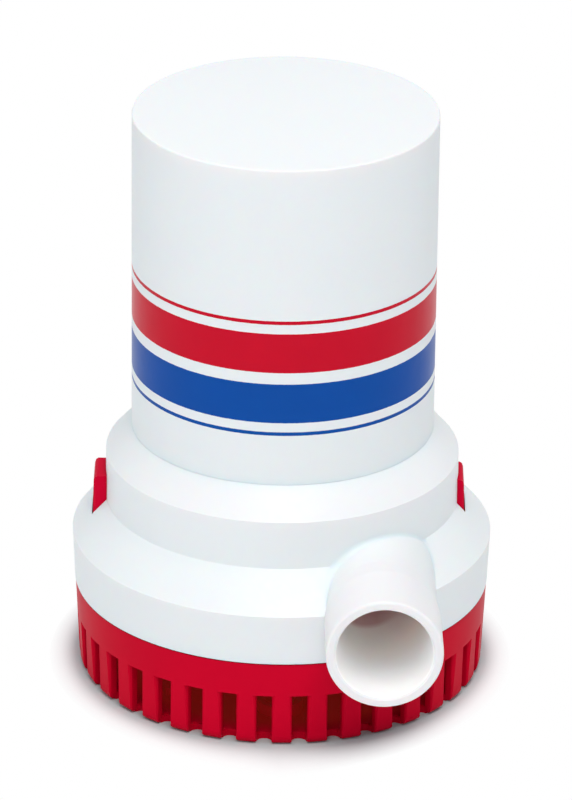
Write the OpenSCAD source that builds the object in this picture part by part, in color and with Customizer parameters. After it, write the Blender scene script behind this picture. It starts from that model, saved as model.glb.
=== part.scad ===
// Submersible bilge pump: strainer base, clip-off pump head, sealed motor and impeller.
// Millimetres. +Z is up, the origin is the middle of the strainer's underside,
// and the outlet points along -Y.

/* [Outer shell] */
// height over everything
total_h = 157.4; // [130:0.2:190]
// radius of the flange at its widest
flange_r = 56; // [45:0.5:65]
// radius of the skirt at its lower edge
skirt_r = 55.4; // [44:0.2:64]
// radius of the middle tier
mid_r = 47; // [38:0.5:52]
// radius of the motor can
can_r = 40.2; // [32:0.2:45]
// wall of the moulded shells
wall = 2.2; // [1.6:0.1:3]

/* [Levels] */
// lower edge of the skirt
skirt_z = 24.5; // [20:0.1:28]
// widest line of the flange
flange_z = 38.4; // [34:0.1:42]
// foot of the middle tier
mid_lo = 48.2; // [44:0.1:52]
// shoulder of the middle tier
mid_hi = 61.4; // [56:0.1:66]
// seam where the can stands on the housing
can_z = 69; // [64:0.1:74]

/* [Outlet] */
// outside radius of the outlet tube
out_r = 15.2; // [10:0.1:20]
// bore radius of the outlet tube
out_bore = 12.5; // [8:0.1:17]
// sideways offset of the tube from the middle
out_x = 26.9; // [20:0.1:32]
// height of the tube's axis
out_z = 39.1; // [34:0.1:44]
// how far the tube's mouth stands out
out_y = 78; // [65:0.5:95]
// turn of the tube against the latches
out_turn = 1.1; // [0:0.1:5]

/* [Strainer] */
// radius of the strainer wall under the skirt
strain_r = 55.3; // [44:0.1:64]
// radius of the strainer wall at the foot
strain_lo = 54.2; // [43:0.1:63]
// slots around the wall
slots = 36; // [24:1:48]
// width of one slot
slot_w = 4.1; // [2:0.1:6]
// height of the slots
slot_h = 14.8; // [8:0.5:18]
// how deep a slot is cut in from the wall
slot_deep = 3.9; // [3:0.1:6]
// turn of the slot ring against the latches
slot_turn = 0.7; // [0:0.1:9]
// floor thickness
floor_t = 1.9; // [1.6:0.1:4]
// pitch circle of the mounting holes
screw_pcd = 72; // [50:1:90]
// radius of a mounting hole
screw_r = 2.4; // [1.5:0.1:3.5]

/* [Latches] */
// width of a latch tab
tab_w = 11.8; // [8:0.2:18]
// outer face of the left tab, from the middle
tab_left = 50.4; // [47:0.1:50.8]
// outer face of the right tab, from the middle
tab_right = 48.7; // [48:0.1:50.8]
// top of a tab
tab_z = 54.8; // [50:0.2:60]
// line that a latch bends about
bend_z = 15; // [12:0.5:20]

/* [Impeller] */
// outside radius
imp_r = 27.5; // [20:0.5:30]
// vanes
vanes = 6; // [4:1:8]
// underside of the vanes
imp_z = 26.3; // [26:0.1:28]
// upper face of the disc
imp_top = 40.3; // [36:0.1:44]

/* [Motor] */
// radius of the motor's steel case
case_r = 34; // [26:0.5:36]
// radius of the laminated core
core_r = 25.8; // [18:0.2:28]
// teeth of the core, and commutator bars
poles = 12; // [8:1:16]
// radius of the shaft
shaft_r = 3; // [2:0.1:4]

/* [Hidden] */
$fn = 96;
e = 0.01;
tilt = 360 / slots;
scroll_in = 30.2;
scroll_out = out_x - out_y * tan(out_turn) + out_bore - 0.3;
tongue = 63;
sweep = 360 - tongue;
cover_z = 25.2;
cover_t = 2.4;
roof_z = 52.6;
roof_t = 2.6;
case_lo = 61;
case_hi = 140;
brush_z = 129;
com_r = 9;
bosses = [35, 95, 155, 215, 270];
boss_r = 44.4;

// ---------- helpers ----------

// a plain ring
module ring(r_out, r_in, z0, z1) {
    translate([0, 0, z0])
        difference() {
            cylinder(r = r_out, h = z1 - z0);
            translate([0, 0, -1])
                cylinder(r = r_in, h = z1 - z0 + 2);
        }
}

// a block given by its corners
module block(x0, x1, y0, y1, z0, z1) {
    translate([x0, y0, z0])
        cube([x1 - x0, y1 - y0, z1 - z0]);
}

// a flat wedge of the plane, for cutting arcs out of rings
module wedge(a, r) {
    polygon([
        [0, 0],
        [r * cos(a / 2), -r * sin(a / 2)],
        [r * 1.3, 0],
        [r * cos(a / 2), r * sin(a / 2)]
    ]);
}

// radius of the scroll after turning s degrees clockwise from the tongue
function scroll(s) = scroll_in + (scroll_out - scroll_in) * s / sweep;

// outline of the scroll, grown by g
function scroll_line(g) = [
    for (i = [0 : 36])
        let (s = sweep * i / 36)
        (scroll(s) + g) * [cos(-tongue - s), sin(-tongue - s)]
];

// ---------- strainer base ----------

// wall: drafted, rebated at the top for the pump's skirt, with a rounded lower edge
module strainer_wall() {
    rotate_extrude()
        polygon([
            [52, 0], [strain_lo - 1.9, 0], [strain_lo - 1.1, 0.25], [strain_lo - 0.45, 0.8],
            [strain_lo - 0.05, 1.6], [strain_lo + 0.1, 2.5], [strain_r, skirt_z - 0.2],
            [53.1, skirt_z - 0.2],
            [53.1, 29.2], [52.6, 30], [51.2, 30], [51.2, 22], [52, 19]
        ]);
}

// one slot: square through the wall with rounded outer corners, flared at the foot,
// and with a round end where it bites into the floor
module slot() {
    inner = strain_lo - slot_deep + slot_w / 2;
    half = slot_w / 2;
    translate([inner, 0, -1])
        cylinder(r = half, h = floor_t + 1, $fn = 32);
    translate([inner, 0, 0])
        rotate([90, 0, 90])
            linear_extrude(height = 5)
                polygon([
                    [-half - 0.6, -1], [half + 0.6, -1], [half + 0.6, 0.05], [half + 0.2, 0.35],
                    [half, 1], [half, floor_t], [-half, floor_t], [-half, 1],
                    [-half - 0.2, 0.35], [-half - 0.6, 0.05]
                ]);
    translate([0, 0, floor_t - 0.3])
        linear_extrude(height = slot_h - floor_t + 0.3)
            polygon([
                [50.5, -half], [strain_lo - 0.4, -half], [strain_lo + 0.1, -half - 0.3],
                [strain_r + 0.2, -half - 1.6], [strain_r + 0.2, half + 1.6],
                [strain_lo + 0.1, half + 0.3], [strain_lo - 0.4, half], [50.5, half]
            ]);
}

// a seat for the rounded foot of a latch
module latch_seat() {
    difference() {
        block(46, 52.3, -8, 8, 7, bend_z + 1.6);
        translate([48.6, 0, bend_z])
            rotate([90, 0, 0])
                cylinder(r = 1.7, h = tab_w + 0.6, center = true, $fn = 48);
        block(46.6, 50.6, -tab_w / 2 - 0.3, tab_w / 2 + 0.3, bend_z, 30);
    }
}

module strainer_base() {
    color([0.80, 0.02, 0.13])
    difference() {
        union() {
            strainer_wall();
            cylinder(r = 52.2, h = floor_t);
            // low ribs that stiffen the floor
            for (a = [0 : 30 : 330])
                rotate([0, 0, a + 15])
                    block(8, 42, -0.8, 0.8, 1, 4);
            // deflector under the suction eye
            cylinder(r1 = 10.5, r2 = 3, h = 6.2);
            // bosses of the mounting holes
            for (a = [30 : 120 : 270])
                rotate([0, 0, a])
                    translate([screw_pcd / 2, 0, 0])
                        cylinder(r = 6.2, h = 5);
            latch_seat();
            rotate([0, 0, 180])
                latch_seat();
            // legs under the latch seats
            for (a = [0, 180])
                rotate([0, 0, a]) {
                    block(46, 52.3, -8, -6.4, 1, 8);
                    block(46, 52.3, 6.4, 8, 1, 8);
                }
        }
        for (i = [0 : slots - 1])
            rotate([0, 0, (i + 0.5) * tilt + slot_turn])
                slot();
        for (a = [30 : 120 : 270])
            rotate([0, 0, a])
                translate([screw_pcd / 2, 0, 0]) {
                    translate([0, 0, -1])
                        cylinder(r = screw_r, h = 8);
                    translate([0, 0, 3.2])
                        cylinder(r1 = screw_r, r2 = screw_r + 2.2, h = 2.2);
                }
        // the rim opens where the latch arms rise
        for (a = [0, 180])
            rotate([0, 0, a])
                block(45, 51.9, -6.4, 6.4, bend_z + 1, 31);
        for (a = [0, 180])
            rotate([0, 0, a])
                block(45, 53.6, -6.4, 6.4, skirt_z - 0.2, 31);
        // and under the outlet tube
        block(9.8, 43.6, -60, -20, skirt_z - 0.2, 31);
        block(out_x - 9, out_x + 9, -60, -20, out_z - out_r - 0.5, 31);
    }
}

// ---------- latches ----------

// side view of a latch with its tab's face at x: foot, springy arm, catch nose, thumb tab
module latch_side(x) {
    polygon([
        [47.4, bend_z], [49.4, bend_z], [49.4, 38.2], [51, 38.2], [51, 38.7],
        [x, 40.4], [x, 46], [x - 0.2, tab_z - 1.2], [x - 0.5, tab_z - 0.4],
        [x - 1.1, tab_z], [46.4, tab_z], [46.4, 44], [47.4, 42]
    ]);
    translate([48.6, bend_z])
        circle(r = 1.4, $fn = 48);
}

module latch(x) {
    difference() {
        rotate([90, 0, 0])
            linear_extrude(height = tab_w, center = true)
                latch_side(x);
        // the tab's outer corners are rounded in plan, and the arm is waisted
        for (s = [-1, 1]) {
            translate([x + 0.4, s * (tab_w / 2 + 0.4), 40.5])
                rotate([0, 0, 45])
                    translate([-1, -1, 0])
                        cube([2, 2, 20]);
            block(44, 52, s > 0 ? 4.4 : -8, s > 0 ? 8 : -4.4, 19, 36);
        }
        // grip grooves across the thumb face
        for (z = [47.2, 49.4, 51.6])
            translate([x + 0.35, 0, z])
                rotate([90, 0, 0])
                    cylinder(r = 0.6, h = tab_w - 3.2, center = true, $fn = 24);
    }
}

module latch_right() {
    color([0.80, 0.02, 0.13])
        latch(tab_right);
}

module latch_left() {
    color([0.80, 0.02, 0.13])
        rotate([0, 0, 180])
            latch(tab_left);
}

// ---------- volute housing ----------

// outer skin of the three tiers
module housing_outer() {
    rotate_extrude()
        polygon([
            [0, skirt_z], [skirt_r, skirt_z], [flange_r, flange_z],
            [mid_r + 0.1, mid_lo], [mid_r, mid_hi], [can_r, can_z], [0, can_z]
        ]);
}

// the hollow under the flange, open below
module skirt_hollow() {
    rotate_extrude()
        polygon([
            [0, skirt_z - 1], [skirt_r - 1.9, skirt_z - 1], [skirt_r - 1.9, flange_z - 0.6],
            [mid_r - wall, mid_lo - 1], [mid_r - wall, roof_z], [0, roof_z]
        ]);
}

// the hollow above the roof, under the motor
module upper_hollow() {
    rotate_extrude()
        polygon([
            [0, roof_z + roof_t], [mid_r - wall, roof_z + roof_t],
            [mid_r - wall, mid_hi - 3.4], [38.2, mid_hi + 1.6], [38.2, can_z + 1], [0, can_z + 1]
        ]);
}

// a round profile turned about the outlet's axis, given by radius and distance;
// the axis swings about the mouth
module outlet_turned(profile) {
    translate([out_x, -out_y, out_z])
        rotate([0, 0, out_turn])
            translate([0, out_y, 0])
                rotate([90, 0, 0])
                    rotate_extrude()
                        polygon(profile);
}

// outlet tube: a straight spigot for the hose with a rounded lip, on a slimmer root
module outlet_skin() {
    outlet_turned([
        [0, 12], [out_r - 0.9, 12], [out_r - 0.7, 53], [out_r, 60], [out_r, out_y - 0.7],
        [out_r - 0.12, out_y - 0.35], [out_r - 0.35, out_y - 0.12], [out_r - 0.7, out_y],
        [0, out_y]
    ]);
}

// bore of the tube, rounded at the lip
module outlet_hole() {
    outlet_turned([
        [0, 3], [out_bore, 3], [out_bore, out_y - 1], [out_bore + 0.2, out_y - 0.4],
        [out_bore + 0.8, out_y + 0.1], [out_bore + 0.8, out_y + 1], [0, out_y + 1]
    ]);
}

// a catch ledge, and the recess that the thumb tab is pressed into
module latch_block() {
    block(41.6, 46.2, -9.3, 9.3, 40, 58.4);
    block(51.3, 54.2, -8, 8, 35.4, 38);
}

module volute_housing() {
    color([0.95, 0.96, 0.97])
    difference() {
        union() {
            difference() {
                housing_outer();
                skirt_hollow();
                upper_hollow();
            }
            // scroll wall
            translate([0, 0, cover_z])
                linear_extrude(height = roof_z + 1 - cover_z)
                    polygon(scroll_line(wall));
            outlet_skin();
            // hub of the shaft seal
            translate([0, 0, 47.4])
                cylinder(r = 12, h = 9.2);
            // ribs that carry the motor
            for (a = [0 : 45 : 315])
                rotate([0, 0, a + 22.5])
                    block(11, 45.5, -1, 1, roof_z + 1, case_lo);
            // screw bosses of the cover, with webs to the scroll
            for (a = bosses)
                rotate([0, 0, a]) {
                    translate([boss_r, 0, cover_z])
                        cylinder(r = 3.4, h = 19.5);
                    block(33, boss_r, -1, 1, 29, 46.4);
                }
            latch_block();
            rotate([0, 0, 180])
                latch_block();
        }
        // water chamber: the scroll runs out into the tube's bore
        translate([0, 0, cover_z - 1])
            linear_extrude(height = roof_z + 1 - cover_z)
                polygon(scroll_line(0));
        outlet_hole();
        // seat of the cover
        translate([0, 0, skirt_z - 3])
            cylinder(r = 48.1, h = cover_z - skirt_z + 3);
        // shaft passage and seal pocket
        translate([0, 0, 40])
            cylinder(r = 6, h = 20);
        translate([0, 0, 50])
            cylinder(r = 9, h = 10);
        // pilot holes of the cover screws
        for (a = bosses)
            rotate([0, 0, a])
                translate([boss_r, 0, cover_z - 1])
                    cylinder(r = 1.45, h = 12);
        // slots for the latch arms, and the recesses behind the tabs
        for (s = [[0, tab_right], [180, tab_left]])
            rotate([0, 0, s[0]])
                block(43.9, s[1] + 0.3, -tab_w / 2 - 0.3, tab_w / 2 + 0.3, 20, tab_z + 0.5);
    }
}

module volute_cover() {
    color([0.93, 0.94, 0.95])
    difference() {
        union() {
            translate([0, 0, cover_z - 0.1 - cover_t])
                cylinder(r = 47.6, h = cover_t);
            // bell-mouthed suction eye
            rotate_extrude()
                polygon([
                    [13.5, 19], [14.2, 18.2], [15.4, 18], [16.4, 18.6],
                    [16.8, 20], [18.5, 23.2], [13.5, 23.2]
                ]);
            // stiffening ribs round the eye
            for (a = bosses)
                rotate([0, 0, a])
                    block(15, 41, -0.9, 0.9, 21.2, 23.5);
            for (a = bosses)
                rotate([0, 0, a])
                    translate([boss_r, 0, 21.4])
                        cylinder(r = 4, h = 2);
        }
        translate([0, 0, 10])
            cylinder(r = 13.5, h = 20);
        for (a = bosses)
            rotate([0, 0, a])
                translate([boss_r, 0, 10])
                    cylinder(r = 1.9, h = 20);
        // flats that let the latch arms by
        for (a = [0, 180])
            rotate([0, 0, a])
                block(43.9, 50, -7.2, 7.2, 10, 30);
    }
}

// a pan-head screw with its point up
module cover_screw() {
    translate([0, 0, 20.6])
        cylinder(r = 3.2, h = 0.8);
    translate([0, 0, 19.8])
        cylinder(r1 = 2.4, r2 = 3.2, h = 0.8 + e);
    translate([0, 0, 21.3])
        cylinder(r = 1.4, h = 12);
    translate([0, 0, 33.3 - e])
        cylinder(r1 = 1.4, r2 = 0.4, h = 1.6);
}

module cover_screws() {
    color([0.75, 0.76, 0.78])
        for (a = bosses)
            rotate([0, 0, a])
                translate([boss_r, 0, 0])
                    difference() {
                        cover_screw();
                        for (t = [0, 90])
                            rotate([0, 0, t])
                                block(-1.7, 1.7, -0.35, 0.35, 19, 20.9);
                    }
}

// ---------- motor can ----------

module motor_can() {
    color([0.95, 0.96, 0.97])
    difference() {
        union() {
            difference() {
                rotate_extrude()
                    polygon([
                        [0, can_z + 0.05], [can_r, can_z + 0.05],
                        [can_r - 0.03, total_h - 0.4], [can_r - 0.15, total_h - 0.12],
                        [can_r - 0.4, total_h], [0, total_h]
                    ]);
                translate([0, 0, can_z - 1])
                    cylinder(r = can_r - 2.6, h = total_h - 2.6 - can_z + 1);
            }
            // plug that goes down into the housing
            ring(37.9, case_r + 0.5, 62.2, can_z + 3);
            // ribs that hold the motor in line
            for (a = [0 : 45 : 315])
                rotate([0, 0, a])
                    block(case_r + 0.2, can_r - 2, -1.1, 1.1, can_z + 1, 150);
            // ribs under the lid that press the motor down
            for (a = [22.5, 112.5, 202.5, 292.5])
                rotate([0, 0, a])
                    block(26, can_r - 2, -1, 1, 142.2, total_h - 2);
        }
        // groove of the sealing ring
        difference() {
            translate([0, 0, 63.6])
                cylinder(r = 39, h = 2.3);
            translate([0, 0, 63])
                cylinder(r = 36, h = 4);
        }
        // hole of the cable inlet, at the back
        translate([0, can_r - 6, 146.5])
            rotate([-90, 0, 0])
                cylinder(r = 5.2, h = 10);
    }
}

module can_seal() {
    color([0.08, 0.08, 0.09])
        rotate_extrude()
            translate([37.08, 64.75])
                circle(r = 1.06, $fn = 32);
}

// flanged bush that the power lead enters by
module cable_gland() {
    color([0.90, 0.91, 0.92])
    translate([0, 0, 146.5])
        rotate([-90, 0, 0])
            difference() {
                union() {
                    translate([0, 0, can_r - 4.4])
                        cylinder(r = 5.1, h = 5);
                    translate([0, 0, can_r - 0.1])
                        cylinder(r = 6.4, h = 2);
                    translate([0, 0, can_r + 1.9])
                        cylinder(r1 = 6.4, r2 = 5.2, h = 1.6);
                    translate([0, 0, can_r + 3.4])
                        cylinder(r = 5.2, h = 2.4);
                }
                translate([0, 0, 20])
                    cylinder(r = 3.3, h = 40);
            }
}

// ---------- seal and bearings ----------

module shaft_seal() {
    color([0.10, 0.10, 0.11])
    rotate_extrude()
        polygon([
            [4.2, 50.1], [8.95, 50.1], [8.95, 56], [7.6, 56], [7.6, 51.8],
            [4.8, 51.8], [4.4, 54.2], [3.25, 54.6], [3.06, 54], [3.25, 53.4], [3.9, 52.6]
        ]);
}

module lower_bearing() {
    color([0.72, 0.56, 0.32])
        ring(6.4, shaft_r + 0.05, 58.4, 64);
}

module upper_bearing() {
    color([0.72, 0.56, 0.32])
        ring(6.4, shaft_r + 0.05, 140.4, 146);
}

// ---------- motor ----------

module motor_case() {
    color([0.72, 0.73, 0.75])
    difference() {
        union() {
            translate([0, 0, case_lo + 0.05])
                cylinder(r = case_r, h = case_hi - case_lo);
            // drawn pocket of the lower bearing
            translate([0, 0, 57.3])
                cylinder(r = 8, h = 5);
        }
        translate([0, 0, case_lo + 1.5])
            cylinder(r = case_r - 1.5, h = 100);
        translate([0, 0, 58.35])
            cylinder(r = 6.45, h = 10);
        translate([0, 0, 50])
            cylinder(r = 4, h = 20);
        // cooling windows round the drawn end
        for (a = [30 : 60 : 330])
            rotate([0, 0, a])
                translate([21, 0, 50])
                    cylinder(r = 3.5, h = 20);
    }
}

// moulded cap that closes the motor and carries the brushes
module end_cap() {
    color([0.12, 0.12, 0.13])
    difference() {
        union() {
            translate([0, 0, 136.6])
                cylinder(r = case_r - 1.6, h = 3.4);
            translate([0, 0, case_hi + 0.1])
                cylinder(r = case_r, h = 1.9);
            translate([0, 0, case_hi - 0.5])
                cylinder(r = 32.3, h = 1);
            translate([0, 0, 141])
                cylinder(r = 9, h = 6.2);
        }
        translate([0, 0, 130])
            cylinder(r = shaft_r + 1.2, h = 30);
        translate([0, 0, 140.35])
            cylinder(r = 6.45, h = 5.8);
        for (s = [-1, 1])
            block(-3.4, 3.4, s > 0 ? 18.7 : -19.9, s > 0 ? 19.9 : -18.7, 130, 150);
    }
}

module magnet() {
    translate([0, 0, 70])
        linear_extrude(height = 50)
            intersection() {
                difference() {
                    circle(r = case_r - 1.55);
                    circle(r = core_r + 1.2);
                }
                wedge(128, 50);
            }
}

module magnets() {
    color([0.22, 0.22, 0.23]) {
        magnet();
        rotate([0, 0, 180])
            magnet();
    }
}

// folded steel strips that spread the magnets
module magnet_clip() {
    translate([0, 0, 74])
        linear_extrude(height = 42)
            intersection() {
                difference() {
                    circle(r = case_r - 1.7);
                    circle(r = case_r - 2.4);
                }
                wedge(46, 50);
            }
}

module magnet_clips() {
    color([0.78, 0.79, 0.80])
        for (a = [90, 270])
            rotate([0, 0, a])
                magnet_clip();
}

// carbon block, hollowed to ride on the commutator
module brushes() {
    color([0.16, 0.16, 0.17])
    difference() {
        union() {
            block(-2.4, 2.4, com_r - 1, com_r + 10, brush_z - 3.4, brush_z + 3.4);
            block(-2.4, 2.4, -com_r - 10, -com_r + 1, brush_z - 3.4, brush_z + 3.4);
        }
        translate([0, 0, 110])
            cylinder(r = com_r + 0.08, h = 40);
    }
}

module brush_holder() {
    difference() {
        block(-3.5, 3.5, com_r + 2, com_r + 20, brush_z - 4.5, 136.55);
        block(-2.5, 2.5, com_r, com_r + 18.5, brush_z - 3.5, brush_z + 3.5);
        // the pigtail's slot
        block(-0.8, 0.8, com_r + 5, com_r + 16, brush_z + 3, 140);
    }
}

module brush_holders() {
    color([0.80, 0.66, 0.34])
        for (a = [0, 180])
            rotate([0, 0, a])
                brush_holder();
}

module brush_spring() {
    translate([0, com_r + 10.1, brush_z])
        rotate([-90, 0, 0])
            linear_extrude(height = 8.2, twist = -1440, slices = 56, $fn = 8)
                translate([1.5, 0])
                    scale([1, 2.4])
                        circle(r = 0.42, $fn = 8);
}

module brush_springs() {
    color([0.80, 0.81, 0.82]) {
        brush_spring();
        rotate([0, 0, 180])
            brush_spring();
    }
}

module motor_terminals() {
    color([0.80, 0.66, 0.34])
        for (s = [-1, 1])
            difference() {
                union() {
                    block(-3.2, 3.2, s > 0 ? 18.9 : -19.7, s > 0 ? 19.7 : -18.9, 136.7, 150);
                    block(-3.2, 3.2, s > 0 ? 16 : -19.7, s > 0 ? 19.7 : -16, 142.05, 142.8);
                }
                translate([0, s * 19, 147.2])
                    rotate([90, 0, 0])
                        cylinder(r = 0.9, h = 6, center = true, $fn = 24);
            }
}

// ---------- rotor ----------

// one backward-curved vane, the overlap of two shifted circles
module vane() {
    intersection() {
        difference() {
            translate([9, -14])
                circle(r = 19.5);
            translate([8.6, -15.6])
                circle(r = 19.1);
        }
        circle(r = imp_r - 0.2);
        translate([2, -2])
            square([30, 30]);
    }
}

module impeller() {
    color([0.72, 0.05, 0.12])
    difference() {
        union() {
            translate([0, 0, imp_top - 2])
                cylinder(r = imp_r, h = 2);
            translate([0, 0, imp_z])
                linear_extrude(height = imp_top - 1 - imp_z)
                    for (i = [0 : vanes - 1])
                        rotate([0, 0, i * 360 / vanes])
                            vane();
            // hub, domed below
            translate([0, 0, imp_z + 4])
                cylinder(r = 6.2, h = 46.6 - imp_z - 4);
            translate([0, 0, imp_z + 1])
                cylinder(r1 = 4.2, r2 = 6.2, h = 3 + e);
            // fillet cone from hub to disc
            translate([0, 0, imp_top - 6])
                cylinder(r1 = 6.2, r2 = 11, h = 5);
        }
        translate([0, 0, imp_z + 3])
            cylinder(r = shaft_r + 0.02, h = 30);
        // balance notches round the disc
        for (a = [0 : 60 : 300])
            rotate([0, 0, a + 14])
                translate([imp_r - 5, 0, imp_top - 0.8])
                    cylinder(r = 1.6, h = 2);
    }
}

module motor_shaft() {
    color([0.80, 0.81, 0.83])
    union() {
        translate([0, 0, imp_z + 3.1])
            cylinder(r = shaft_r, h = 145.3 - imp_z - 3.1);
        translate([0, 0, 145.3 - e])
            cylinder(r1 = shaft_r, r2 = shaft_r - 0.6, h = 0.6);
    }
}

// slot between two teeth of the core
module core_slot() {
    translate([core_r - 2.2, 0])
        square([6, 2.2], center = true);
    intersection() {
        difference() {
            circle(r = core_r - 1.8);
            circle(r = 13);
        }
        polygon([
            [9, 0], [12, -1.3], [core_r, -4.4], [core_r, 4.4], [12, 1.3]
        ]);
    }
}

module armature_core() {
    color([0.55, 0.56, 0.58])
    translate([0, 0, 76])
        linear_extrude(height = 38)
            difference() {
                circle(r = core_r);
                circle(r = shaft_r + 0.02);
                for (i = [0 : poles - 1])
                    rotate([0, 0, i * 360 / poles])
                        core_slot();
            }
}

// copper in the slots, and the coil heads at both ends
module armature_windings() {
    color([0.75, 0.38, 0.18])
    union() {
        for (i = [0 : poles - 1])
            rotate([0, 0, i * 360 / poles])
                translate([0, 0, 74])
                    linear_extrude(height = 42)
                        intersection() {
                            difference() {
                                circle(r = core_r - 2.1);
                                circle(r = 13.3);
                            }
                            polygon([
                                [12.4, -1], [core_r, -3.9], [core_r, 3.9], [12.4, 1]
                            ]);
                        }
        for (z = [69.2, 114.3])
            difference() {
                translate([0, 0, z])
                    rotate_extrude()
                        polygon([
                            [8, 1.2], [11, 0], [20, 0], [23.2, 1.8], [23.6, 4.2],
                            [23.2, 6.5], [8, 6.5]
                        ]);
                for (i = [0 : poles - 1])
                    rotate([0, 0, (i + 0.5) * 360 / poles])
                        block(20.4, 26, -0.9, 0.9, z - 1, z + 8);
            }
    }
}

module commutator() {
    color([0.78, 0.46, 0.24])
    difference() {
        union() {
            translate([0, 0, 122.5])
                cylinder(r = com_r, h = 12.5);
            translate([0, 0, 122.5])
                cylinder(r = com_r + 1.4, h = 1.8);
        }
        translate([0, 0, 120])
            cylinder(r = shaft_r + 0.02, h = 20);
        for (i = [0 : poles - 1])
            rotate([0, 0, i * 360 / poles])
                block(com_r - 1, com_r + 3, -0.25, 0.25, 120, 140);
    }
}

module thrust_washers() {
    color([0.85, 0.85, 0.83]) {
        ring(5.6, shaft_r + 0.02, 64.2, 65.4);
        ring(5.6, shaft_r + 0.02, 65.5, 69.2);
        ring(3.9, shaft_r + 0.02, 136.2, 140.2);
    }
}

strainer_base();
latch_left();
latch_right();
volute_housing();
volute_cover();
cover_screws();
motor_can();
can_seal();
cable_gland();
shaft_seal();
motor_case();
end_cap();
lower_bearing();
upper_bearing();
magnets();
magnet_clips();
brushes();
brush_holders();
brush_springs();
motor_terminals();
impeller();
motor_shaft();
armature_core();
armature_windings();
commutator();
thrust_washers();
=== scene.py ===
# %% [markdown]
# # A submersible bilge pump
# The solids of this pump come ready made from its CAD model: the strainer, the two thumb
# tabs, the moulded housing, the can over the motor and all that is inside. This lesson frames
# them, gives every piece the finish it has in real life, models one soft fillet, and lights
# the pump on a studio floor.

# %% Load the frame
import math
import bpy
from mathutils import Matrix, Vector


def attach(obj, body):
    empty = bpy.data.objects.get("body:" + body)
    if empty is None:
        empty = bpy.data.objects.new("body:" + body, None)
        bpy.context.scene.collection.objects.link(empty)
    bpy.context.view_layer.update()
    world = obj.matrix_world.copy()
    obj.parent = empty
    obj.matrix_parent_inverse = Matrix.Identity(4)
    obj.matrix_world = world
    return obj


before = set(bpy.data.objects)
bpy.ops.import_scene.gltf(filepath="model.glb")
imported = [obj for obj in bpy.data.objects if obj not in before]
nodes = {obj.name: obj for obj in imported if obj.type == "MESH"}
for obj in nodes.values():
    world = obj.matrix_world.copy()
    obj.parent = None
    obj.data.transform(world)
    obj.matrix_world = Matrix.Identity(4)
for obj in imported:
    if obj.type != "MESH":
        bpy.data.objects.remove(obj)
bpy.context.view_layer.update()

# %% [markdown]
# ## The camera
# A long lens from about a metre and a half keeps the cylinders nearly parallel, as in a
# catalogue picture. The camera looks down by a little under 25 degrees, with a hint of roll.
# A constraint could aim it, but it leaves no room for the roll, so the three axes of the
# camera are worked out and set as a matrix.

# %% Place the camera
ELEVATION = 24.595                      # degrees above the level
ROLL = 0.645                            # degrees
DISTANCE = 1.5949                       # metres from the target
TARGET = (0.00082, 0, 0.07507)
FOCAL_SHARE = 7.5                       # focal length over the sensor's longer side
SENSOR = 36.0                           # millimetres


def deg(a):
    return a * math.pi / 180


def aim_camera(elevation, roll, distance, target, lens):
    e, r = deg(elevation), deg(roll)
    back = Vector((0, -math.cos(e), math.sin(e)))
    right = Vector((1, 0, 0))
    up = Vector((0, math.sin(e), math.cos(e)))
    x = right * math.cos(r) + up * math.sin(r)
    y = up * math.cos(r) - right * math.sin(r)
    place = Vector(target) + back * distance
    bpy.ops.object.select_all(action="DESELECT")
    bpy.ops.object.camera_add(location=place)
    camera = bpy.context.object
    camera.name = "camera"
    camera.data.sensor_width = SENSOR
    camera.data.lens = lens
    camera.data.clip_start = 0.05
    camera.matrix_world = Matrix((
        (x.x, y.x, back.x, place.x), (x.y, y.y, back.y, place.y),
        (x.z, y.z, back.z, place.z), (0, 0, 0, 1)))
    bpy.context.scene.camera = camera
    return camera


camera = aim_camera(ELEVATION, ROLL, DISTANCE, TARGET, FOCAL_SHARE * SENSOR)
print("lens", round(camera.data.lens, 1), "mm")

# %% [markdown]
# ## Shader maths in plain Python
# A material is a graph of nodes. Writing it as Python sums keeps it readable: each output
# socket is wrapped in a small class, and adding or multiplying two of them makes a Math node.

# %% Sockets as numbers
class Val:
    """An output socket that can be used in sums."""

    def __init__(self, mat, socket):
        self.mat, self.socket = mat, socket

    def _math(self, op, *others, clamp=False):
        return self.mat.node("ShaderNodeMath", {"operation": op, "use_clamp": clamp},
                             dict(enumerate((self,) + others)))

    def __add__(self, o):
        return self._math("ADD", o)

    __radd__ = __add__

    def __sub__(self, o):
        return self._math("SUBTRACT", o)

    def __rsub__(self, o):
        return self.mat.node("ShaderNodeMath", {"operation": "SUBTRACT"}, {0: o, 1: self})

    def __mul__(self, o):
        return self._math("MULTIPLY", o)

    __rmul__ = __mul__

    def __truediv__(self, o):
        return self._math("DIVIDE", o)

    def __pow__(self, o):
        return self._math("POWER", o)

    def __abs__(self):
        return self._math("ABSOLUTE")

    def less(self, o):
        return self._math("LESS_THAN", o)

    def more(self, o):
        return self._math("GREATER_THAN", o)

    def clip(self):
        return self._math("ADD", 0.0, clamp=True)

    def largest(self, o):
        return self._math("MAXIMUM", o)


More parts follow.
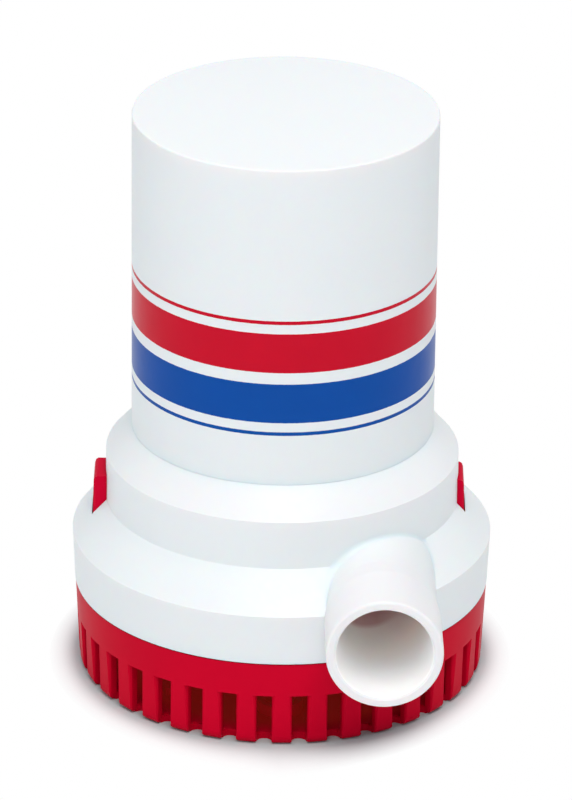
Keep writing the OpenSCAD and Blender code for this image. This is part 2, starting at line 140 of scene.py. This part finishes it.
class Mat:
    """A material whose nodes are made by one method."""

    def __init__(self, name, **fixed):
        self.m = bpy.data.materials.new(name)
        self.m.use_nodes = True
        self.tree = self.m.node_tree
        self.tree.nodes.clear()
        self.out = self.tree.nodes.new("ShaderNodeOutputMaterial")
        self.bsdf = self.tree.nodes.new("ShaderNodeBsdfPrincipled")
        self.tree.links.new(self.bsdf.outputs[0], self.out.inputs["Surface"])
        for key, value in fixed.items():
            self.bsdf.inputs[key.replace("_", " ")].default_value = value

    def put(self, socket, value):
        """Link a value to a socket, or set the socket to a plain number or colour."""
        if isinstance(value, Val):
            self.tree.links.new(value.socket, socket)
        elif isinstance(value, (tuple, list)) and len(value) == 3 and socket.type == "RGBA":
            socket.default_value = (*value, 1.0)
        else:
            socket.default_value = value

    def node(self, kind, settings=None, inputs=None, output=0):
        """Add a node. "stops" among its settings are places and tones of a colour ramp."""
        n = self.tree.nodes.new(kind)
        for key, value in (settings or {}).items():
            if key == "stops":
                ramp = n.color_ramp
                while len(ramp.elements) < len(value):
                    ramp.elements.new(0.5)
                for el, (pos, tone) in zip(ramp.elements, value):
                    el.position = pos
                    el.color = (*tone, 1) if isinstance(tone, tuple) else (tone, tone, tone, 1)
            else:
                setattr(n, key, value)
        for key, value in (inputs or {}).items():
            self.put(n.inputs[key], value)
        return Val(self, n.outputs[output])

    def coords(self):
        return self.node("ShaderNodeTexCoord", output="Object")

    def xyz(self):
        n = self.tree.nodes.new("ShaderNodeSeparateXYZ")
        self.put(n.inputs[0], self.coords())
        return [Val(self, s) for s in n.outputs]

    def noise(self, scale, detail=3.0, rough=0.5, stretch=None):
        v = self.coords()
        if stretch:
            v = self.node("ShaderNodeMapping", None, {"Vector": v, "Scale": stretch})
        return self.node("ShaderNodeTexNoise", None,
                         {"Vector": v, "Scale": scale, "Detail": detail, "Roughness": rough})

    def ramp(self, value, *stops):
        return self.node("ShaderNodeValToRGB", {"stops": stops}, {0: value})

    def mix(self, fac, a, b):
        n = self.tree.nodes.new("ShaderNodeMix")
        n.data_type = "RGBA"
        self.put(n.inputs[0], fac)
        self.put(n.inputs[6], a)
        self.put(n.inputs[7], b)
        return Val(self, n.outputs[2])

    def bump(self, height, distance, strength):
        return self.node("ShaderNodeBump", None,
                         {"Height": height, "Distance": distance, "Strength": strength})

    def glow(self, colour):
        self.put(self.bsdf.inputs["Emission Color"], colour)
        self.bsdf.inputs["Emission Strength"].default_value = 1.0

    def surface(self, **links):
        for key, value in links.items():
            self.put(self.bsdf.inputs[key.replace("_", " ")], value)
        return self.m


BLACK = (0.0, 0.0, 0.0)
print("shader helpers ready")

# %% [markdown]
# ## White moulded plastic
# The housing is injection moulded and slightly satin. Its white is a touch cool, with a very
# faint cloudiness from the flow of the melt and a fine mould texture that only shows in the
# highlights. Painted maps could show them, but noise on the object's own coordinates needs no
# unwrapping and stays sharp at any distance.

# %% White plastic
WHITE = (0.850, 0.851, 0.855)
WHITE_SHADE = (0.815, 0.817, 0.822)
MOULD_GRAIN = 1500                      # grains per metre, as the noise scale
GRAIN_DEPTH = 0.00002
GRAIN_STRENGTH = 0.35


def moulded_white(name, printed=False, bore=False, shine=0.25):
    mat = Mat(name, Specular_IOR_Level=shine, Subsurface_Weight=0.3, Subsurface_Scale=0.006)
    cloud = mat.noise(26, 4, 0.55)
    flow = mat.noise(9, 2, 0.4, stretch=(1, 1, 0.35))
    colour = mat.mix((cloud * 0.6 + flow * 0.4 - 0.35) * 0.9, WHITE, WHITE_SHADE)
    rough = 0.34 + 0.10 * cloud
    height = mat.noise(MOULD_GRAIN, 2, 0.5)
    if printed:
        colour, rough, height = ink(mat, colour, rough, height)
    if bore:
        colour = bore_glow(mat, colour)
    return mat.surface(Base_Color=colour, Roughness=rough,
                       Normal=mat.bump(height, GRAIN_DEPTH, GRAIN_STRENGTH))


print("white", WHITE, "clouded to", WHITE_SHADE)

# %% [markdown]
# ## Printed hoops
# The can carries two broad level hoops, red over blue, with a fine line of each colour beside
# them. Screen ink lies on the plastic as a thin glossy film, so each hoop also changes the
# roughness and lifts the surface by a hair at its edges. A second skin round the can could
# carry them, but as bands of height in the can's own material they can't float off its wall.

# %% Hoops on the can
RED_INK = (0.600, 0.003, 0.022)
BLUE_INK = (0.003, 0.076, 0.365)
HOOPS = [                               # lower edge, upper edge, ink
    (0.1010, 0.1120, RED_INK), (0.1146, 0.1156, RED_INK),
    (0.0868, 0.0978, BLUE_INK), (0.0832, 0.0842, BLUE_INK),
]
EDGE_WANDER = 0.00012
THIN_INK = 0.88
INK_GLOSS = 0.10
INK_THICKNESS = 1.5                     # in grain depths


def ink(mat, colour, rough, height):
    level = mat.xyz()[2] + (mat.noise(900, 2) - 0.5) * EDGE_WANDER
    density = mat.noise(120, 3)
    film = None
    for low, high, tint in HOOPS:
        band = level.more(low) * level.less(high)
        dark = tuple(c * THIN_INK for c in tint)
        colour = mat.mix(band, colour, mat.mix((density - 0.3) * 0.8, tint, dark))
        film = band if film is None else film + band
    return colour, rough - film * INK_GLOSS, height + film * INK_THICKNESS


print("hoops at", [(low, high) for low, high, tint in HOOPS])

# %% [markdown]
# ## Light inside the outlet
# Daylight passes through the wall of the outlet tube, so its bore is never quite dark. A faint
# painted glow of the wall stands for that light: cool white near the mouth, a warm cream
# further in. At the far end, within a circle about the motor shaft, a painted reflection of the
# impeller's red tints the wall and its glow.

# %% Glow of the bore
BORE_RADIUS = 0.0127                    # a little over the wall's own
BORE_HEIGHT = 0.0391
BORE_END = -0.024                       # y of the deepest glow
MOUTH = (0.0269, -0.0783)               # x and y of the tube's open end
TURN = 1.1                              # degrees between the tube and the Y axis
TONES_FROM = 0.030                      # depth of the first tone, as -y
TONES_LENGTH = 0.048
# tones of the painted glow, from deep in the bore out to the mouth
BORE_GLOW_TONES = (
    (0.00, (0.058, 0.022, 0.016)), (0.20, (0.062, 0.035, 0.025)), (0.40, (0.058, 0.052, 0.037)),
    (0.52, (0.072, 0.068, 0.056)), (0.70, (0.130, 0.140, 0.138)), (0.85, (0.165, 0.180, 0.174)),
    (1.00, (0.150, 0.153, 0.145)),
)
# painted reflection of the impeller's red: its glow, and its tint of the wall's colour
PAINTED_SHEEN_GLOW = (0.046, 0.019, 0.020)
PAINTED_SHEEN_TINT = (0.60, 0.44, 0.44)
SHEEN_RADIUS, SHEEN_EDGE = 0.0455, 0.0025       # from the motor shaft
SHEEN_X, SHEEN_FADE = 0.0325, 0.0070


def bore_glow(mat, colour):
    x, y, z = mat.xyz()
    across = x - MOUTH[0] + (y - MOUTH[1]) * math.tan(deg(TURN))
    up = z - BORE_HEIGHT
    # the painted glow is laid only on the bore's own wall
    inside = ((across * across + up * up) ** 0.5).less(BORE_RADIUS) * y.less(BORE_END)
    tone = mat.ramp((y * -1 - TONES_FROM) / TONES_LENGTH, *BORE_GLOW_TONES)
    from_shaft = (x * x + y * y) ** 0.5
    near_shaft = ((SHEEN_RADIUS - from_shaft) / SHEEN_EDGE).clip()
    # painted reflection of the impeller's red, within a circle about the shaft and fading to
    # the right
    painted_sheen = near_shaft * ((SHEEN_X - x) / SHEEN_FADE).clip()
    mat.glow(mat.mix(inside, BLACK, mat.mix(painted_sheen, tone, PAINTED_SHEEN_GLOW)))
    return mat.mix(painted_sheen * inside, colour, PAINTED_SHEEN_TINT)


can_white = moulded_white("can_white", printed=True, shine=0.08)
housing_white = moulded_white("housing_white", bore=True)
cover_white = moulded_white("cover_white")
print("white plastics:", [m.name for m in (can_white, housing_white, cover_white)])

# %% [markdown]
# ## Red moulded plastic
# Strainer and tabs come from one red plastic with a deep, clean colour and little shine. A
# thin band of painted shade marks the gap under the housing's skirt. The strainer's hollow has
# a faint painted glow, for the daylight that comes through its wall, so the slots look deep red
# and not black.

# %% Red plastic
# painted shade: a narrow band of darkened red just under the housing's skirt
SEAM_HEIGHT, SEAM_WIDTH = 0.0242, 0.0005
SEAM_SHADE_TONE = 0.35
HOLLOW_GLOW = (0.048, 0.0032, 0.0011)
HOLLOW_RADIUS, HOLLOW_EDGE = 0.0495, 0.005
HOLLOW_FLOOR = 0.001


def moulded_red(name, bright, deep, rough=0.33, hollow=False):
    mat = Mat(name, Specular_IOR_Level=0.03)
    cloud = mat.noise(38, 4, 0.55)
    colour = mat.mix(cloud * 1.2 - 0.25, bright, deep)
    if hollow:
        x, y, z = mat.xyz()
        # painted shade in the gap under the skirt
        seam_shade = z.more(SEAM_HEIGHT) * z.less(SEAM_HEIGHT + SEAM_WIDTH)
        colour = mat.mix(seam_shade, colour, tuple(c * SEAM_SHADE_TONE for c in deep))
        # painted glow inside the strainer's hollow, standing for daylight through its wall
        inward = HOLLOW_RADIUS - (x * x + y * y) ** 0.5
        inside = (inward / HOLLOW_EDGE).clip() * z.more(HOLLOW_FLOOR)
        mat.glow(mat.mix(inside, BLACK, HOLLOW_GLOW))
    grain = mat.noise(1300, 2, 0.5)
    return mat.surface(Base_Color=colour, Roughness=rough + 0.12 * cloud,
                       Normal=mat.bump(grain, GRAIN_DEPTH, GRAIN_STRENGTH))


strainer_red = moulded_red("strainer_red", (0.625, 0.0004, 0.022), (0.550, 0.0004, 0.019),
                           hollow=True)
tab_red = moulded_red("tab_red", (0.650, 0.0004, 0.029), (0.575, 0.0004, 0.025))
impeller_red = moulded_red("impeller_red", (0.400, 0.030, 0.035), (0.300, 0.020, 0.028), 0.5)
print("red plastics:", [m.name for m in (strainer_red, tab_red, impeller_red)])

# %% [markdown]
# ## Metals, rubber and carbon
# The inner pieces are seen when the head is lifted off or looked into from below. Each gets
# its own tone, a direction of polish or a sintered grain. One function makes every metal and
# one every dull stuff, because they differ only in a few numbers.

# %% Inner materials
def metal(name, colour, rough, stretch=(1, 1, 40), grain=220, shade=0.82):
    mat = Mat(name, Metallic=1.0)
    streak = mat.noise(grain, 3, 0.6, stretch=stretch)
    dark = tuple(c * shade for c in colour)
    return mat.surface(Base_Color=mat.mix(streak, colour, dark),
                       Roughness=rough + 0.14 * streak,
                       Normal=mat.bump(streak, GRAIN_DEPTH, 0.3))


def dull(name, colour, rough, shade=0.7):
    mat = Mat(name)
    spots = mat.noise(500, 4, 0.6)
    dark = tuple(c * shade for c in colour)
    return mat.surface(Base_Color=mat.mix(spots, colour, dark),
                       Roughness=rough + 0.15 * spots,
                       Normal=mat.bump(spots, 1.5 * GRAIN_DEPTH, 0.5))


stainless = metal("stainless", (0.62, 0.63, 0.65), 0.22)
case_steel = metal("case_steel", (0.52, 0.53, 0.55), 0.34)
spring_steel = metal("spring_steel", (0.58, 0.59, 0.61), 0.25)
laminations = metal("laminations", (0.30, 0.31, 0.33), 0.45, stretch=(1, 1, 1))
bronze = metal("bronze", (0.50, 0.34, 0.15), 0.45, stretch=(1, 1, 1), grain=900)
brass = metal("brass", (0.66, 0.48, 0.18), 0.28)
copper = metal("copper", (0.62, 0.24, 0.10), 0.35, stretch=(1, 1, 8))
carbon = dull("carbon", (0.020, 0.020, 0.022), 0.6)
ferrite = dull("ferrite", (0.040, 0.040, 0.043), 0.7)
rubber = dull("rubber", (0.014, 0.014, 0.015), 0.55)
black_plastic = dull("black_plastic", (0.018, 0.018, 0.020), 0.42)
nylon = dull("nylon", (0.62, 0.61, 0.57), 0.4, shade=0.9)
grommet = dull("grommet", (0.74, 0.75, 0.76), 0.48, shade=0.93)

FINISH = {
    "strainer_base": strainer_red, "latch_left": tab_red, "latch_right": tab_red,
    "volute_housing": housing_white, "volute_cover": cover_white, "motor_can": can_white,
    "cover_screws": stainless, "can_seal": rubber, "cable_gland": grommet,
    "shaft_seal": rubber, "motor_case": case_steel, "end_cap": black_plastic,
    "lower_bearing": bronze, "upper_bearing": bronze, "magnets": ferrite,
    "magnet_clips": spring_steel, "brushes": carbon, "brush_holders": brass,
    "brush_springs": spring_steel, "motor_terminals": brass, "impeller": impeller_red,
    "motor_shaft": stainless, "armature_core": laminations, "armature_windings": copper,
    "commutator": copper, "thrust_washers": nylon,
}
for name, material in FINISH.items():
    nodes[name].data.materials.clear()
    nodes[name].data.materials.append(material)
print("finishes:", len(FINISH), "of", len(nodes))

# %% [markdown]
# ## The fillet at the outlet's root
# A moulding has no sharp inner corners. Where the round tube leaves the cone and the middle
# tier, the plastic flows from one into the other in a hollow curve. A bevel on the edge where
# they meet could make it, but the housing comes ready made and isn't cut, so the fillet is a
# piece of its own. One cross-section is extruded from angle to angle about the tube's axis,
# broad at the left and above, tight at the right. It is a curve that leaves the tube along its
# length and lands on the body, closed by three corners buried in the plastic. Lengths here
# are in millimetres.

# %% Fillet between tube and body
MM = 0.001
BODY_RADIUS = ((24.5, 55.4), (38.4, 56.0), (48.2, 47.1), (61.4, 47.0))       # by height
TUBE_RADIUS = ((12.0, 14.3), (53.0, 14.5), (60.0, 15.2))                     # by distance
TUBE_LENGTH = 78.0
ROOT_RADIUS = 14.4                      # the tube's, first guess
NEAR_WALL, TRIES = 45.0, 6              # the body's distance, first guess and tries
# size by the angle about the tube's axis, in degrees from the right
FILLET_SIZES = ((4.0, 0.3), (60.0, 0.9), (90.0, 1.3), (120.0, 2.2), (150.0, 1.9), (176.0, 0.3))
SECTIONS = 72
CURVE_STEPS = 9
SUNK = 0.03                             # of the curve's ends, into tube and body
BURIED = 1.0                            # of the three closing corners
SMOOTH_BELOW = 50                       # degrees between faces


def along(table, place):
    """The value at a place, on straight lines between the rows of a table."""
    for (a, low), (b, high) in zip(table, table[1:]):
        if place <= b:
            break
    return low + (high - low) * (place - a) / (b - a)


def beside_tube(angle, radius, distance):
    """x and z of a point at an angle and a radius about the tube's axis."""
    axis_x = MOUTH[0] / MM - (TUBE_LENGTH - distance) * math.tan(deg(TURN))
    return axis_x + radius * math.cos(angle), BORE_HEIGHT / MM + radius * math.sin(angle)


def leaves_body(angle, radius):
    """How far out a line beside the tube's axis comes through the body's surface."""
    distance = NEAR_WALL
    for _ in range(TRIES):
        x, z = beside_tube(angle, radius, distance)
        distance = math.sqrt(along(BODY_RADIUS, z) ** 2 - x * x)
    return distance


def fillet_section(share):
    first, last = FILLET_SIZES[0][0], FILLET_SIZES[-1][0]
    degrees = first + (last - first) * share
    angle, size = deg(degrees), along(FILLET_SIZES, degrees)
    radius = along(TUBE_RADIUS, leaves_body(angle, ROOT_RADIUS) + size)
    corner = (radius, leaves_body(angle, radius))
    on_tube = (radius - SUNK, corner[1] + size)
    on_body = (radius + size, leaves_body(angle, radius + size) - SUNK)
    curve = []
    for i in range(CURVE_STEPS + 1):
        t = i / CURVE_STEPS
        curve.append(tuple((1 - t) ** 2 * a + 2 * t * (1 - t) * b + t * t * c
                           for a, b, c in zip(on_tube, corner, on_body)))
    curve += [(on_body[0], on_body[1] - BURIED), (radius - BURIED, corner[1] - BURIED),
              (radius - BURIED, on_tube[1])]
    points = []
    for r, distance in curve:
        x, z = beside_tube(angle, r, distance)
        points.append((x * MM, -distance * MM, z * MM))
    return points


def shape_cap(piece, ring):
    """Move the corners of the selected face to the points of a ring."""
    cap = next(face for face in piece.data.polygons if face.select)
    for corner, point in zip(cap.vertices, ring):
        piece.data.vertices[corner].co = point


def loft(name, rings):
    """A closed body, extruded from ring to ring."""
    bpy.ops.object.select_all(action="DESELECT")
    bpy.ops.mesh.primitive_circle_add(vertices=len(rings[0]), fill_type="NGON",
                                      location=(0, 0, 0))
    piece = bpy.context.object
    piece.name = piece.data.name = name
    shape_cap(piece, rings[0])
    for ring in rings[1:]:
        bpy.ops.object.mode_set(mode="EDIT")
        bpy.ops.mesh.extrude_region_move()
        bpy.ops.object.mode_set(mode="OBJECT")
        shape_cap(piece, ring)
    bpy.ops.object.mode_set(mode="EDIT")
    bpy.ops.mesh.select_all(action="SELECT")
    bpy.ops.mesh.normals_make_consistent(inside=False)
    bpy.ops.object.mode_set(mode="OBJECT")
    bpy.ops.object.shade_smooth_by_angle(angle=deg(SMOOTH_BELOW))
    return piece


fillet = loft("outlet_fillet", [fillet_section(i / SECTIONS) for i in range(SECTIONS + 1)])
fillet.data.materials.append(housing_white)
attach(fillet, "pump_head")
print("fillet:", len(fillet.data.polygons), "faces,",
      [round(v / MM, 1) for v in fillet.dimensions], "mm")

# %% [markdown]
# ## Floor and light
# The pump stands on a white table. A ring of the floor close to it is painted a darker white,
# a painted shadow which deepens the real one where they touch. Further off the floor turns to
# plain white for the camera, sooner at the sides than in front. A broad warm lamp high in
# front, a weaker one overhead, a low one from the left and an even, slightly blue sky leave the
# walls pale grey and the tops nearly white.

# %% Studio
FLOOR_RADIUS = 4
FLOOR_WHITE = (0.94, 0.94, 0.95)
# painted shadow: the floor's darker colour in a ring close to the pump
FLOOR_SHADOW_TONE = (0.46, 0.53, 0.53)
RING_RADIUS = 0.0525                    # where the darker ring begins to fade
SHADOW_RADIUS = 0.0555                  # where the floor begins to turn white
FADE_WIDTH = 0.017
SIDE_FADE = 1.4                         # how much sooner the fades end at the sides
WARM = (1.0, 0.935, 0.925)
PLAIN = (1.0, 1.0, 1.0)
LAMPS = [                               # name, place, size, watts, tint
    ("key", (0.00, -0.66, 1.25), 0.7, 8.6, WARM),
    ("over", (0.26, -0.18, 1.38), 0.8, 4.1, WARM),
    ("side", (-1.2, -0.6, 0.25), 0.8, 1.8, PLAIN),
]
LAMP_TARGET = (0, 0, 0.07)
SKY = (0.85, 0.95, 1.0)
SKY_STRENGTH = 0.54


def studio_floor():
    bpy.ops.object.select_all(action="DESELECT")
    bpy.ops.mesh.primitive_circle_add(vertices=96, radius=FLOOR_RADIUS, fill_type="NGON",
                                      location=(0, 0, 0))
    floor = bpy.context.object
    floor.name = "studio_floor"
    mat = Mat("floor_white", Roughness=0.9, Specular_IOR_Level=0.1)
    x, y, _ = mat.xyz()
    from_pump = (x * x + y * y) ** 0.5
    reach = (1 + SIDE_FADE * abs(x) / from_pump) / FADE_WIDTH
    far = (from_pump - SHADOW_RADIUS) * reach
    rays = mat.tree.nodes.new("ShaderNodeLightPath")
    seen = Val(mat, rays.outputs["Is Camera Ray"])
    glossy = Val(mat, rays.outputs["Is Glossy Ray"])
    through = Val(mat, rays.outputs["Is Transmission Ray"])
    white = mat.tree.nodes.new("ShaderNodeEmission")
    white.inputs["Color"].default_value = (1, 1, 1, 1)
    both = mat.tree.nodes.new("ShaderNodeMixShader")
    mat.put(both.inputs[0], seen.largest(glossy).largest(through) * far.clip())
    mat.tree.links.new(mat.bsdf.outputs[0], both.inputs[1])
    mat.tree.links.new(white.outputs[0], both.inputs[2])
    mat.tree.links.new(both.outputs[0], mat.out.inputs["Surface"])
    # painted shadow in a ring round the pump's foot
    near = 1 - ((from_pump - RING_RADIUS) * reach).clip()
    floor.data.materials.append(mat.surface(
        Base_Color=mat.mix(near, FLOOR_WHITE, FLOOR_SHADOW_TONE)))
    print("floor of", round(floor.dimensions.x, 2), "m")


def soft_lamp(name, place, size, watts, tint):
    bpy.ops.object.select_all(action="DESELECT")
    bpy.ops.object.light_add(type="AREA", location=place)
    lamp = bpy.context.object
    lamp.name = name
    lamp.data.shape = "DISK"
    lamp.data.size = size
    lamp.data.energy = watts
    lamp.data.color = tint
    aim = Vector(LAMP_TARGET) - Vector(place)
    lamp.rotation_euler = aim.to_track_quat("-Z", "Y").to_euler()
    print("lamp", name, watts, "W,", round(aim.length, 2), "m away")


def even_sky():
    world = bpy.data.worlds.new("sky")
    world.use_nodes = True
    background = world.node_tree.nodes["Background"]
    background.inputs["Color"].default_value = (*SKY, 1)
    background.inputs["Strength"].default_value = SKY_STRENGTH
    bpy.context.scene.world = world


studio_floor()
for row in LAMPS:
    soft_lamp(*row)
even_sky()
bpy.context.scene.view_settings.view_transform = "Standard"
